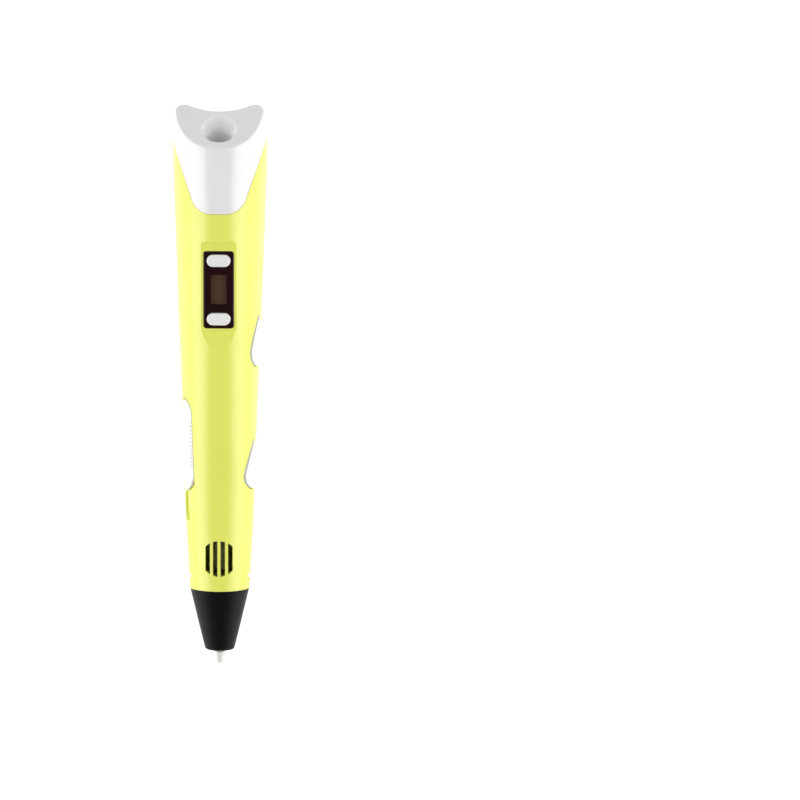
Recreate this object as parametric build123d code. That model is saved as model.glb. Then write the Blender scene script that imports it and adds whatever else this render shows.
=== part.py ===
"""Hand-held 3-D printing pen, built up from its separate pieces.

The pieces are drawn in the pen's own frame: +Y runs from the nozzle tip (y = 0) to the tail along the
filament line, +X is the button side and +Z the display side. At the end every piece is laid down in
the pen's resting place, on the flat of its back, with the origin under the middle of the whole pen.
"""
import math
import os

from build123d import *

# ---- Outer form: place along the pen, half width, height to display side, depth to back, fullness ----
STATIONS = [
    (25.5, 9.85, 9.85, 9.85, 2.00),
    (31.0, 10.1, 10.05, 10.15, 2.03),
    (42.0, 10.75, 10.4, 11.7, 2.10),
    (55.0, 11.3, 10.8, 13.6, 2.18),
    (72.0, 11.8, 11.4, 16.3, 2.25),
    (95.0, 12.65, 12.3, 20.6, 2.30),
    (120.0, 13.75, 13.25, 24.9, 2.30),
    (145.0, 14.6, 14.1, 28.3, 2.30),
    (160.0, 15.15, 14.5, 28.9, 2.30),
    (172.0, 15.4, 14.6, 26.8, 2.30),
    (192.0, 14.0, 14.6, 20.0, 2.30),
]
SECTION_POINTS = 16
SEAM_TURN = 30.0

# ---- Shells ----
WALL = 1.8
PARTING_SLOPE = 3.15
REST_ANGLE = 8.3
FLAT_FROM = 30.0
NOSE_JOINT_Y = STATIONS[0][0]
NOSE_RADIUS = STATIONS[0][1]
FRONT_WALL = 6.2
NOTCH_Y, NOTCH_LENGTH, NOTCH_DEPTH, NOTCH_HEIGHT = 29.3, 2.0, 1.1, 8.0
SCREW_PLACES = [(-6.0, 44.0), (6.0, 44.0), (-9.6, 146.0), (9.6, 146.0)]
BOSS_RADIUS = 2.5
SCREW_RADIUS, SCREW_CLEARANCE = 1.0, 0.15
SCREW_HEAD_RADIUS, SCREW_HEAD_HEIGHT = 1.9, 1.5
SCREW_BITE = 4.5
SCREW_SEAT = 3.0

# ---- Vent over the hot end ----
VENT_Y, VENT_RADIUS = 36.4, 5.95
VENT_SLOTS, VENT_SLOT_WIDTH, VENT_PITCH = 4, 1.45, 2.45

# ---- Nose cone, nozzle and hot end ----
CONE_Y, CONE_TIP_RADIUS = 4.6, 4.9
CONE_SPIGOT_RADIUS, CONE_SPIGOT_LENGTH = 8.0, 3.5
NOZZLE_COLLAR_RADIUS, NOZZLE_NECK_RADIUS, NOZZLE_ORIFICE_RADIUS = 1.55, 1.1, 0.35
NOZZLE_BODY_RADIUS, NOZZLE_BODY_END = 2.5, 15.0
FILAMENT_BORE_RADIUS = 1.1
HEAT_BREAK_RADIUS, HEAT_BREAK_START = 1.6, 9.0
HEATER_RADIUS, HEATER_START, HEATER_END = 3.7, 7.0, 17.0
MOUNT_FLANGE = 1.6
GUIDE_TUBE_RADIUS = 2.0

# ---- Feed unit ----
FEED_Y, FEED_START, FEED_END = 76.0, 66.0, 86.0
FEED_TOP, FEED_BOTTOM = 6.4, -10.8
PLATE = 1.5
WHEEL_RADIUS, WHEEL_HALF_WIDTH = 3.5, 2.0
FILAMENT_RADIUS = 0.875
SHAFT_RADIUS, RUNNING_FIT = 1.0, 0.05
GEAR_MODULE, FEED_TEETH, DRIVE_TEETH, GEAR_WIDTH = 0.6, 18, 14, 2.4
GEAR_START_X = 2.6
GEAR_BACKLASH = 0.15
DRIVE_SHAFT_Y = 84.0
IDLER_RADIUS, IDLER_HALF_WIDTH, IDLER_PIN_RADIUS = 3.0, 1.25, 1.5
IDLER_GAP = 1.35
ARM_THICKNESS, ARM_PIVOT_Y, ARM_PIVOT_Z = 1.0, 84.0, 4.6
MOTOR_WIDTH, MOTOR_HEIGHT, MOTOR_LENGTH = 12.0, 10.0, 15.0
GEARBOX_START, GEARBOX_END, GEARBOX_HALF = 80.0, 89.0, 4.1
FEED_RIBS, MOTOR_RIBS, RIB = (67.5, 73.5), (93.0, 101.0), 1.4

# ---- Display, its window and buttons, set in a plane along the display side ----
DISPLAY_Y, DISPLAY_SLOPE = 125.4, 2.1
RECESS_OFFSET, RECESS_CORNER = -2.0, 2.5
RECESS_LENGTH, RECESS_WIDTH, RECESS_DEPTH = 35.6, 13.0, 1.2
SCOOP_LENGTH = 7.0
WINDOW_LENGTH, WINDOW_WIDTH, WINDOW_THICKNESS = 25.3, 9.8, 1.1
WINDOW_STAND, WINDOW_CORNER, WINDOW_GAP = 0.15, 1.0, 0.08
LEDGE, LEDGE_THICKNESS = 0.5, 0.8
LCD_LENGTH, LCD_WIDTH, LCD_THICKNESS = 9.9, 5.1, 1.8
BUTTON_LENGTH, BUTTON_WIDTH, BUTTON_STAND, BUTTON_PITCH = 7.7, 4.0, 0.9, 19.2
BUTTON_GAP, BUTTON_RIM = 0.15, 0.3
BOARD_DEPTH, BOARD_THICKNESS, BOARD_WIDTH, BOARD_LENGTH = 7.2, 1.0, 14.0, 40.0
BOARD_START = DISPLAY_Y - BOARD_LENGTH / 2
BOARD_SCREWS = [(x, y) for x in (-5.0, 5.0) for y in (-17.5, 17.5)]
BOARD_SCREW_RADIUS, POST_RADIUS = 0.7, 1.6
SWITCH_SIZE, SWITCH_HEIGHT, PLUNGER_RADIUS, PLUNGER_STAND = 4.2, 1.6, 0.9, 0.9
STEM_RADIUS = 1.3

# ---- Side controls: teardrop buttons on +X, ribbed slider on -X ----
FEED_BUTTON = {"y": 63.5, "z": 3.1, "radius": 4.6, "tip": 11.4,
               "inner": 8.1, "stem": 0.8, "stem_y": -1.5, "board": 5.8}
UNLOAD_BUTTON = {"y": 104.2, "z": 2.1, "radius": 5.1, "tip": 11.4,
                 "inner": 9.0, "stem": 0.6, "stem_y": -0.5, "board": 5.2}
SIDE_GAP, SIDE_STAND, SIDE_RIM = 0.3, 0.35, 0.9
SIDE_BOARD, TEARDROP_TURN = 0.8, 79.0
SLIDER_TRAVEL, SLIDER_GAP = 9.5, 0.35
SLIDER_START, SLIDER_END, SLIDER_TOP, SLIDER_BOTTOM = 57.6, 88.2, 7.6, -0.8
SLIDER_POINT = 7.0
SLIDER_SINK, SLIDER_THICKNESS = 0.05, 0.6
RIDGE_COUNT, RIDGE_PITCH, RIDGE_START, RIDGE_WIDTH = 12, 1.3, 66.5, 0.55
RIDGE_STAND = 0.25
SLIDER_STEM_Y, SLIDER_STEM_LENGTH, SLIDER_STEM_DROP = 78.0, 4.0, 0.9
POT_FACE_X, POT_DEPTH, POT_GROOVE = -6.6, 1.9, 0.9

# ---- End cap: tongue on the display side, sloped end face, funnel, hollowed back, power inlet ----
CAP_TIP_Y, CAP_CORNER, CAP_FLAT, CAP_TAPER = 150.3, 6.8, 2.4, 19.5
CAP_GAP, CAP_LIP, CAP_LIP_THICKNESS = 0.06, 3.0, 1.2
FACE_Y, FACE_SLOPE = 171.7, 49.7
FACE_DEPTH, FACE_CORNER = 17.2, 0.8
SADDLE_SLOPE, SADDLE_RADIUS, SADDLE_CORNER = 60.0, 21.0, 3.4
INLET_FROM_FACE_EDGE, INLET_SLOPE = 7.9, 25.0
FUNNEL_MOUTH_RADIUS, FUNNEL_STEP_RADIUS, FUNNEL_STEP_DEPTH = 5.8, 4.0, 2.6
FUNNEL_DEPTH, FUNNEL_WALL, TUBE_SEAT = 10.0, 1.2, 3.2
BEND_RADIUS = 30.0
INLET_Z, PLUG_RADIUS, PLUG_DEPTH, PLUG_WALL = -10.5, 5.0, 5.2, 1.3
JACK_WIDTH, JACK_HEIGHT, JACK_LENGTH = 9.0, 10.6, 13.0
JACK_BORE_RADIUS, JACK_BORE_DEPTH, JACK_PIN_RADIUS = 3.15, 9.5, 1.0
JACK_SLEEVE = 4.0

WIRE_RADIUS = 0.5
FAR = 120.0
SKIN = ("upper_shell", "lower_shell", "end_cap", "nose_cone", "nozzle")


# ---- Small helpers for plain solids ----
def block(x0, x1, y0, y1, z0, z1):
    """A plain block between two corners."""
    return Pos((x0 + x1) / 2, (y0 + y1) / 2, (z0 + z1) / 2) * Box(x1 - x0, y1 - y0, z1 - z0)


def along(radius, y0, y1, x=0.0, z=0.0):
    """A round bar along the pen."""
    return Pos(x, (y0 + y1) / 2, z) * Rot(90, 0, 0) * Cylinder(radius, y1 - y0)


def across(radius, x0, x1, y, z):
    """A round bar from side to side."""
    return Pos((x0 + x1) / 2, y, z) * Rot(0, 90, 0) * Cylinder(radius, x1 - x0)


def upright(radius, x, y, z0, z1):
    """A round bar from back to display side."""
    return Pos(x, y, (z0 + z1) / 2) * Cylinder(radius, z1 - z0)


def turned(outline):
    """A turned solid about the filament line, from (radius, y) points."""
    return revolve(make_face(Polyline(*outline, close=True)), Axis.Y)


def one(shape):
    """The single solid of a boolean's result."""
    solids = shape.solids()
    return max(solids, key=lambda solid: solid.volume)


# ---- The outer form and everything offset from it ----
def section(station, inset):
    """One cross-section of the form, drawn in by inset."""
    y, half_width, front, back, fullness = station
    middle = (front - back) / 2
    half_height = (front + back) / 2 - inset
    power = 2 / fullness
    points = []
    for step in range(SECTION_POINTS):
        turn = 2 * math.pi * step / SECTION_POINTS - math.radians(SEAM_TURN)
        side = math.cos(turn)
        rise = math.sin(turn)
        x = (half_width - inset) * math.copysign(abs(side) ** power, side)
        z = middle + half_height * math.copysign(abs(rise) ** power, rise)
        points.append(Vector(x, y, z))
    return Wire(Spline(points, periodic=True))


FORMS = {}


def form(inset):
    """The solid form drawn in by inset, kept once made."""
    key = round(inset, 3)
    if key not in FORMS:
        FORMS[key] = Solid.make_loft([section(station, inset) for station in STATIONS])
    return FORMS[key]


def front_height(y):
    """Height of the display-side line over the filament line."""
    for low, high in zip(STATIONS, STATIONS[1:]):
        if y <= high[0]:
            share = (y - low[0]) / (high[0] - low[0])
            return low[2] + share * (high[2] - low[2])
    return STATIONS[-1][2]


def over_parting(gap=0.0):
    """Everything on the display side of the parting plane."""
    place = Pos(0, NOSE_JOINT_Y, 0) * Rot(-PARTING_SLOPE, 0, 0)
    return place * block(-FAR, FAR, -FAR, 2 * FAR, gap, FAR)


def parting_height(y):
    """Height of the parting plane."""
    return -math.tan(math.radians(PARTING_SLOPE)) * (y - NOSE_JOINT_Y)


def under_floor():
    """Everything below the surface that the pen rests on, from well behind the nose."""
    place = Pos(0, NOSE_JOINT_Y, -NOSE_RADIUS) * Rot(-REST_ANGLE, 0, 0)
    return place * block(-FAR, FAR, FLAT_FROM, 2 * FAR, -FAR, 0)


def cap_region(grow=0.0):
    """The plan outline of the cap, a rounded tongue that widens to the tail, right through the pen."""
    radius = CAP_CORNER + grow
    centre_y = CAP_TIP_Y + CAP_CORNER
    taper = math.radians(CAP_TAPER)
    halfway = math.radians(-45 - CAP_TAPER / 2)
    end_x = CAP_FLAT + radius * math.cos(taper)
    end_y = centre_y - radius * math.sin(taper)
    far_y = STATIONS[-1][0] + 20
    far_x = end_x + (far_y - end_y) * math.tan(taper)
    tip = [(CAP_FLAT, centre_y - radius), (end_x, end_y), (far_x, far_y)]
    mid = (CAP_FLAT + radius * math.cos(halfway), centre_y + radius * math.sin(halfway))
    lines = Curve() + [
        Line((-tip[0][0], tip[0][1]), tip[0]),
        ThreePointArc(tip[0], mid, tip[1]),
        Line(tip[1], tip[2]),
        Line(tip[2], (-tip[2][0], tip[2][1])),
        Line((-tip[2][0], tip[2][1]), (-tip[1][0], tip[1][1])),
        ThreePointArc((-tip[1][0], tip[1][1]), (-mid[0], mid[1]), (-tip[0][0], tip[0][1])),
    ]
    return extrude(make_face(lines), FAR, both=True)


def display_plane(solid):
    """Moves a solid drawn flat, with z = 0 on the display side, into the sloping display plane."""
    return Pos(0, DISPLAY_Y, front_height(DISPLAY_Y)) * Rot(DISPLAY_SLOPE, 0, 0) * solid


def rounded_slab(width, length, corner, z0, z1, y=0.0):
    """A flat slab with rounded corners."""
    outline = RectangleRounded(width, length, corner)
    return Pos(0, y, z0) * extrude(outline, z1 - z0)


def stadium(length, width, z0, z1, y=0.0):
    """A flat slab with full-round ends, long from side to side."""
    return Pos(0, y, z0) * extrude(SlotOverall(length, width), z1 - z0)


def teardrop(button, grow, x0, x1):
    """A teardrop seen from the side, round towards the nozzle and pointed towards the tail."""
    radius = button["radius"] + grow
    reach = button["tip"] + grow * button["tip"] / button["radius"]
    lean = math.radians(TEARDROP_TURN)
    touch = (radius * math.cos(lean), radius * math.sin(lean))
    lines = Curve() + [
        ThreePointArc(touch, (-radius, 0), (touch[0], -touch[1])),
        TangentArc((touch[0], -touch[1]), (reach, 0), tangent=(math.sin(lean), math.cos(lean))),
        TangentArc(touch, (reach, 0), tangent=(math.sin(lean), -math.cos(lean))),
    ]
    side = Plane(origin=(x0, button["y"], button["z"]), x_dir=(0, 1, 0), z_dir=(1, 0, 0))
    return extrude(side * make_face(lines), x1 - x0)


def leaf(y0, y1, z0, z1, point, x0, x1):
    """A side outline with a long point towards the nozzle and a short one towards the tail."""
    middle = (z0 + z1) / 2
    half = (z1 - z0) / 2
    lines = Curve() + [
        Spline((y0, middle - half * 0.35), (y0 + point, z1), tangents=[(0.35, 1), (1, 0)]),
        Line((y0 + point, z1), (y1 - half, z1)),
        ThreePointArc((y1 - half, z1), (y1, middle), (y1 - half, z0)),
        Line((y1 - half, z0), (y0 + point, z0)),
        Spline((y0 + point, z0), (y0, middle - half * 0.35), tangents=[(-1, 0), (-0.6, 0.35)]),
    ]
    side = Plane(origin=(x0, 0, 0), x_dir=(0, 1, 0), z_dir=(1, 0, 0))
    return extrude(side * make_face(lines), x1 - x0)


# ---- Tail: sloped end face, hollow saddle behind it, and what is offset from both ----
def tail_cuts(inset=0.0):
    """The two cutters that shape the tail, moved into the pen by inset."""
    face = math.radians(FACE_SLOPE)
    saddle = math.radians(SADDLE_SLOPE)
    top = front_height(FACE_Y)
    crest_y = FACE_Y + FACE_DEPTH * math.cos(face)
    crest_z = top - FACE_DEPTH * math.sin(face)
    face_place = Pos(0, FACE_Y, top) * Rot(-FACE_SLOPE, 0, 0)
    face_cut = face_place * block(-FAR, FAR, -FAR, FAR, -inset, FAR)
    axis_y = crest_y + SADDLE_RADIUS * math.sin(saddle)
    axis_z = crest_z - SADDLE_RADIUS * math.cos(saddle)
    saddle_place = Pos(0, axis_y, axis_z) * Rot(SADDLE_SLOPE - 90, 0, 0)
    saddle_cut = saddle_place * Cylinder(SADDLE_RADIUS + inset, 4 * FAR)
    return face_cut, saddle_cut


def tail_form(inset):
    """The form with the tail cut to shape, drawn in by inset all over."""
    face_cut, saddle_cut = tail_cuts(inset)
    return one(form(inset) - face_cut - saddle_cut)


def outer_form():
    """The pen's outside, with the tail's ridges and end face rounded and a flat to lie on."""
    solid = one(tail_form(0) - under_floor())
    saddle = [face for face in solid.faces() if face.geom_type == GeomType.CYLINDER][0]
    ridge = max(saddle.edges(), key=lambda edge: edge.length)
    solid = solid.fillet(SADDLE_CORNER, [ridge])
    end_faces = [face for face in solid.faces() if face.geom_type == GeomType.PLANE]
    end_face = max(end_faces, key=lambda face: face.center().Y)
    return solid.fillet(FACE_CORNER, end_face.edges())


def funnel_axis(distance):
    """A point on the funnel's axis, this far in from the end face."""
    face = math.radians(FACE_SLOPE)
    slope = math.radians(INLET_SLOPE)
    y = FACE_Y + INLET_FROM_FACE_EDGE * math.cos(face)
    z = front_height(FACE_Y) - INLET_FROM_FACE_EDGE * math.sin(face)
    return y - distance * math.cos(slope), z - distance * math.sin(slope)


def funnel_place(distance):
    """A place on the funnel's axis whose +Z points out of the mouth."""
    y, z = funnel_axis(distance)
    return Pos(0, y, z) * Rot(INLET_SLOPE - 90, 0, 0)


def funnel_bar(radius, far_in, near):
    """A round bar on the funnel's axis from far_in to near, both measured in from the end face."""
    middle = (far_in + near) / 2
    return funnel_place(middle) * Cylinder(radius, far_in - near)


def funnel_cone(radius_in, radius_out, far_in, near):
    """A cone on the funnel's axis."""
    middle = (far_in + near) / 2
    return funnel_place(middle) * Cone(radius_in, radius_out, far_in - near)


def socket_face_y():
    """Where the inlet jack's front face stands."""
    crest_y = FACE_Y + FACE_DEPTH * math.cos(math.radians(FACE_SLOPE))
    crest_z = front_height(FACE_Y) - FACE_DEPTH * math.sin(math.radians(FACE_SLOPE))
    saddle_y = crest_y - (crest_z - INLET_Z) / math.tan(math.radians(SADDLE_SLOPE))
    return saddle_y - PLUG_DEPTH


def make_end_cap(outer):
    """White tail cap: outer skin, lip under the shells, funnel and the collar round the inlet."""
    inner = tail_form(WALL + CAP_LIP_THICKNESS)
    skin = (outer & cap_region(-CAP_GAP)) - inner
    lip = (tail_form(WALL + CAP_GAP) - inner) & cap_region(CAP_LIP)
    funnel = funnel_bar(FUNNEL_STEP_RADIUS + FUNNEL_WALL, FUNNEL_DEPTH + TUBE_SEAT, -9) & outer
    collar = along(PLUG_RADIUS + PLUG_WALL, socket_face_y(), FAR * 2, 0, INLET_Z) & outer
    sleeve_y = socket_face_y() - JACK_SLEEVE
    sleeve = jack_block(PLUG_WALL) & block(-FAR, FAR, sleeve_y, FAR * 2, -FAR, FAR) & outer
    cap = skin + lip + funnel + collar + sleeve
    step = FUNNEL_STEP_DEPTH
    flare = (FUNNEL_MOUTH_RADIUS - FUNNEL_STEP_RADIUS) / step
    cap -= funnel_cone(FUNNEL_STEP_RADIUS, FUNNEL_STEP_RADIUS + flare * (step + 9), step, -9)
    cap -= funnel_cone(GUIDE_TUBE_RADIUS, FUNNEL_STEP_RADIUS, FUNNEL_DEPTH, step)
    cap -= funnel_bar(GUIDE_TUBE_RADIUS, FUNNEL_DEPTH + TUBE_SEAT + 9, FUNNEL_DEPTH)
    cap -= along(PLUG_RADIUS, socket_face_y(), FAR * 2, 0, INLET_Z)
    cap -= jack_block(CAP_GAP)
    return one(cap)


def jack_block(grow):
    """The inlet jack's body."""
    half = JACK_WIDTH / 2 + grow
    tall = JACK_HEIGHT / 2 + grow
    end = socket_face_y()
    return block(-half, half, end - JACK_LENGTH - grow, end, INLET_Z - tall, INLET_Z + tall)


def make_dc_jack():
    """The inlet jack with its barrel bore."""
    end = socket_face_y()
    bore = along(JACK_BORE_RADIUS, end - JACK_BORE_DEPTH, end + 1, 0, INLET_Z)
    return one(jack_block(0) - bore)


def make_dc_pin():
    """The jack's centre contact, a little below its face."""
    end = socket_face_y()
    return along(JACK_PIN_RADIUS, end - JACK_BORE_DEPTH, end - 0.6, 0, INLET_Z)


# ---- Display recess and what sits in it; all drawn about the window's centre ----
def recess_cutter():
    """The pocket round the window: square at the tail end, a rounded scoop towards the nozzle."""
    half = RECESS_WIDTH / 2
    low = RECESS_OFFSET - RECESS_LENGTH / 2
    high = RECESS_OFFSET + RECESS_LENGTH / 2
    start = low + half - RECESS_CORNER
    flat = RectangleRounded(RECESS_WIDTH, high - start, RECESS_CORNER)
    outline = Pos(0, (high + start) / 2) * flat + Pos(0, low + half) * Circle(half)
    pocket = Pos(0, 0, -RECESS_DEPTH) * extrude(outline, RECESS_DEPTH + 6)
    slope = math.degrees(math.atan(RECESS_DEPTH / SCOOP_LENGTH))
    ramp = Pos(0, low, 0) * Rot(-slope, 0, 0) * block(-FAR, FAR, -FAR, FAR, -FAR, 0)
    ramp_end = low + SCOOP_LENGTH
    return pocket - (ramp & block(-FAR, FAR, -FAR, ramp_end, -FAR, FAR))


def window_bottom():
    """Depth of the window's underside."""
    return -RECESS_DEPTH + WINDOW_STAND - WINDOW_THICKNESS


def display_pad():
    """The thick floor under the recess, with posts for the board's screws."""
    low = window_bottom() - LEDGE_THICKNESS
    length = RECESS_LENGTH + 6
    pad = block(-9, 9, RECESS_OFFSET - length / 2, RECESS_OFFSET + length / 2, low, 8)
    for x, y in BOARD_SCREWS:
        pad += upright(POST_RADIUS, x, y, -BOARD_DEPTH, low + 0.5)
    return pad


def display_cutouts():
    """Everything cut through the display face of the shell."""
    length = WINDOW_LENGTH + 2 * WINDOW_GAP
    width = WINDOW_WIDTH + 2 * WINDOW_GAP
    cut = recess_cutter()
    cut += rounded_slab(width, length, WINDOW_CORNER, window_bottom(), 0)
    through = rounded_slab(width - 2 * LEDGE, length - 2 * LEDGE, WINDOW_CORNER, -12, 0)
    cut += through
    for x, y in BOARD_SCREWS:
        cut += upright(BOARD_SCREW_RADIUS + 0.05, x, y, -BOARD_DEPTH - 1, -BOARD_DEPTH + 3)
    return cut


def make_display_window():
    """Glossy dark window with an opening for each button."""
    top = window_bottom() + WINDOW_THICKNESS
    slab = rounded_slab(WINDOW_WIDTH, WINDOW_LENGTH, WINDOW_CORNER, window_bottom(), top)
    slab = slab.fillet(0.2, slab.faces().sort_by(Axis.Z)[-1].edges())
    for side in (-1, 1):
        place = side * BUTTON_PITCH / 2
        hole = (BUTTON_LENGTH + 2 * BUTTON_GAP, BUTTON_WIDTH + 2 * BUTTON_GAP)
        slab -= stadium(hole[0], hole[1], window_bottom() - 1, top + 1, place)
    return one(display_plane(slab))


def make_temperature_button(side):
    """Stadium key with a retaining rim and a stem down to its switch."""
    place = side * BUTTON_PITCH / 2
    under = window_bottom() - 0.05
    top = window_bottom() + WINDOW_THICKNESS + BUTTON_STAND
    key = stadium(BUTTON_LENGTH, BUTTON_WIDTH, under - BUTTON_RIM, top, place)
    key = key.fillet(0.45, key.faces().sort_by(Axis.Z)[-1].edges())
    rim_size = (BUTTON_LENGTH + 2 * BUTTON_RIM, BUTTON_WIDTH + 2 * BUTTON_RIM)
    key += stadium(rim_size[0], rim_size[1], under - 2 * BUTTON_RIM, under, place)
    stem_end = -BOARD_DEPTH + SWITCH_HEIGHT + PLUNGER_STAND
    key += upright(STEM_RADIUS, 0, place, stem_end, under - BUTTON_RIM)
    return one(display_plane(key))


def switch_body():
    """A push switch, drawn standing on z = 0, with the hole its plunger runs in."""
    body = block(-SWITCH_SIZE / 2, SWITCH_SIZE / 2, -SWITCH_SIZE / 2, SWITCH_SIZE / 2, 0, SWITCH_HEIGHT)
    return body - upright(PLUNGER_RADIUS + RUNNING_FIT, 0, 0, SWITCH_HEIGHT - 1.4, SWITCH_HEIGHT + 1)


def switch_plunger():
    """The plunger of a push switch, in the same place as its switch."""
    return upright(PLUNGER_RADIUS, 0, 0, SWITCH_HEIGHT - 0.5, SWITCH_HEIGHT + PLUNGER_STAND)


def display_switch_place(side):
    """Where a temperature button's switch stands on the board."""
    return Pos(0, side * BUTTON_PITCH / 2, -BOARD_DEPTH)


def make_main_board():
    """Main circuit board under the display."""
    board = rounded_slab(BOARD_WIDTH, BOARD_LENGTH, 1.0, -BOARD_DEPTH - BOARD_THICKNESS, -BOARD_DEPTH)
    for x, y in BOARD_SCREWS:
        board -= upright(BOARD_SCREW_RADIUS + 0.1, x, y, -BOARD_DEPTH - 2, -BOARD_DEPTH + 1)
    return one(display_plane(board))


def make_board_screws():
    """Small screws that hold the board to the shell's posts."""
    screws = []
    under = -BOARD_DEPTH - BOARD_THICKNESS
    for x, y in BOARD_SCREWS:
        screw = upright(BOARD_SCREW_RADIUS, x, y, under, -BOARD_DEPTH + 2.5)
        screw += upright(BOARD_SCREW_RADIUS * 2, x, y, under - 0.8, under)
        screws.append(one(display_plane(screw)))
    return Compound(children=screws)


def make_lcd_cell():
    """The LCD's glass cell under the window."""
    width, length = LCD_WIDTH + 2, LCD_LENGTH + 2
    top = window_bottom() - 0.1
    return one(display_plane(rounded_slab(width, length, 0.3, top - LCD_THICKNESS, top)))


def make_lcd_backlight():
    """The block that holds the LCD up off the board."""
    width, length = LCD_WIDTH + 2.4, LCD_LENGTH + 2.4
    top = window_bottom() - 0.1 - LCD_THICKNESS
    return one(display_plane(rounded_slab(width, length, 0.4, -BOARD_DEPTH, top)))


# ---- Side buttons ----
def side_button(button):
    """Teardrop key that follows the shell, with an inner rim and a stem to its switch."""
    layer = form(-SIDE_STAND) - form(WALL + CAP_LIP_THICKNESS)
    key = teardrop(button, 0, button["inner"], 30) & layer
    rim_layer = form(WALL + SIDE_GAP) - form(WALL + CAP_LIP_THICKNESS)
    rim = teardrop(button, SIDE_RIM, button["inner"], 30) & rim_layer
    stem = across(STEM_RADIUS, button["inner"] - button["stem"], button["inner"] + 1,
                  button["y"] + button["stem_y"], button["z"])
    return one(key + rim + stem)


def side_switch_place(button):
    """Where a side button's switch stands, facing the button."""
    x = button["inner"] - button["stem"] - SWITCH_HEIGHT - PLUNGER_STAND
    return Pos(x, button["y"] + button["stem_y"], button["z"]) * Rot(0, 90, 0)


def make_side_board(button):
    """Small board behind a side switch."""
    x = button["inner"] - button["stem"] - SWITCH_HEIGHT - PLUNGER_STAND
    y = button["y"] + button["stem_y"]
    half = button["board"] / 2
    return block(x - SIDE_BOARD, x, y - half, y + half, button["z"] - 2.8, button["z"] + 2.4)


# ---- Speed slider ----
def slider_leaf(grow_y, grow_z, extra):
    """Side outline of the slider, or of its recess when grown and lengthened."""
    return leaf(SLIDER_START - grow_y - extra, SLIDER_END + grow_y, SLIDER_BOTTOM - grow_z,
                SLIDER_TOP + grow_z, SLIDER_POINT, -30, -3)


def slider_recess():
    """Shallow recess that the slider travels in, with the slot for its stem."""
    floor = SLIDER_SINK + SLIDER_THICKNESS + SLIDER_GAP
    pocket = slider_leaf(0.6, 0.35, SLIDER_TRAVEL) - form(floor)
    half = SLIDER_STEM_LENGTH / 2 + SLIDER_GAP
    stem_z = (SLIDER_TOP + SLIDER_BOTTOM) / 2 - SLIDER_STEM_DROP
    slot = block(-30, -6, SLIDER_STEM_Y - SLIDER_TRAVEL - half, SLIDER_STEM_Y + half,
                 stem_z - 1.3, stem_z + 1.3)
    return pocket + slot


def slider_pad():
    """Extra thickness behind the slider's recess."""
    return slider_leaf(2.0, 1.6, SLIDER_TRAVEL) - form(WALL + CAP_LIP_THICKNESS)


def make_speed_slider():
    """Ribbed strip that follows the shell, with a stem into the slide potentiometer."""
    strip = slider_leaf(0, 0, 0) & (form(SLIDER_SINK) - form(SLIDER_SINK + SLIDER_THICKNESS))
    layer = form(SLIDER_SINK - RIDGE_STAND) - form(SLIDER_SINK + SLIDER_THICKNESS / 2)
    for count in range(RIDGE_COUNT):
        y = RIDGE_START + count * RIDGE_PITCH
        strip += block(-30, -3, y, y + RIDGE_WIDTH, SLIDER_BOTTOM + 0.5, SLIDER_TOP - 0.4) & layer
    half = SLIDER_STEM_LENGTH / 2
    stem_z = (SLIDER_TOP + SLIDER_BOTTOM) / 2 - SLIDER_STEM_DROP
    stem = block(-30, POT_FACE_X + POT_GROOVE - 0.3, SLIDER_STEM_Y - half, SLIDER_STEM_Y + half,
                 stem_z - 1.0, stem_z + 1.0)
    strip += stem & form(SLIDER_SINK + SLIDER_THICKNESS / 2)
    return one(strip)


def make_speed_pot():
    """Slide potentiometer behind the slider, with the groove that its wiper runs in."""
    half = SLIDER_STEM_LENGTH / 2
    stem_z = (SLIDER_TOP + SLIDER_BOTTOM) / 2 - SLIDER_STEM_DROP
    low = SLIDER_STEM_Y - SLIDER_TRAVEL - half - 2.5
    high = SLIDER_STEM_Y + half + 2.5
    body = block(POT_FACE_X, POT_FACE_X + POT_DEPTH, low, high, stem_z - 2.1, stem_z + 2.1)
    return body - block(POT_FACE_X - 1, POT_FACE_X + POT_GROOVE, low + 1.5, high - 1.5,
                        stem_z - 1.3, stem_z + 1.3)


# ---- Shells ----
def screw_seat(y):
    """Height of the ledge that a shell screw's head sits on."""
    return parting_height(y) - SCREW_SEAT


def make_hollow():
    """The room inside both shells, less the bosses, pads and ribs that stand in it."""
    hollow = form(WALL) & block(-FAR, FAR, NOSE_JOINT_Y + FRONT_WALL, FAR * 2, -FAR, FAR)
    for x, y in SCREW_PLACES:
        hollow -= upright(BOSS_RADIUS, x, y, -FAR, FAR)
    hollow -= display_plane(display_pad())
    hollow -= slider_pad()
    for y in FEED_RIBS:
        hollow -= block(-4, 6, y, y + RIB, -FAR, FEED_BOTTOM)
    for y in MOTOR_RIBS:
        low = drive_centre()[1] - MOTOR_HEIGHT / 2
        hollow -= block(-MOTOR_WIDTH / 2, MOTOR_WIDTH / 2, y, y + RIB, -FAR, low)
    return one(hollow)


def make_shell_blank(outer):
    """Both shells in one, before they are parted."""
    blank = outer - make_hollow()
    blank -= turned([(0, NOSE_JOINT_Y - 1), (CONE_SPIGOT_RADIUS + RUNNING_FIT, NOSE_JOINT_Y - 1),
                     (CONE_SPIGOT_RADIUS + RUNNING_FIT, flange_end()),
                     (CONE_SPIGOT_RADIUS - 2, flange_end()), (CONE_SPIGOT_RADIUS - 2, VENT_Y),
                     (0, VENT_Y)])
    for side in (-1, 1):
        z = parting_height(NOTCH_Y)
        inner = side * (NOSE_RADIUS - NOTCH_DEPTH + 0.15)
        blank -= block(*sorted((inner, side * FAR)), NOTCH_Y - NOTCH_LENGTH / 2,
                       NOTCH_Y + NOTCH_LENGTH / 2, z - NOTCH_HEIGHT / 2, z + NOTCH_HEIGHT / 2)
    return blank - cap_region()


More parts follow.
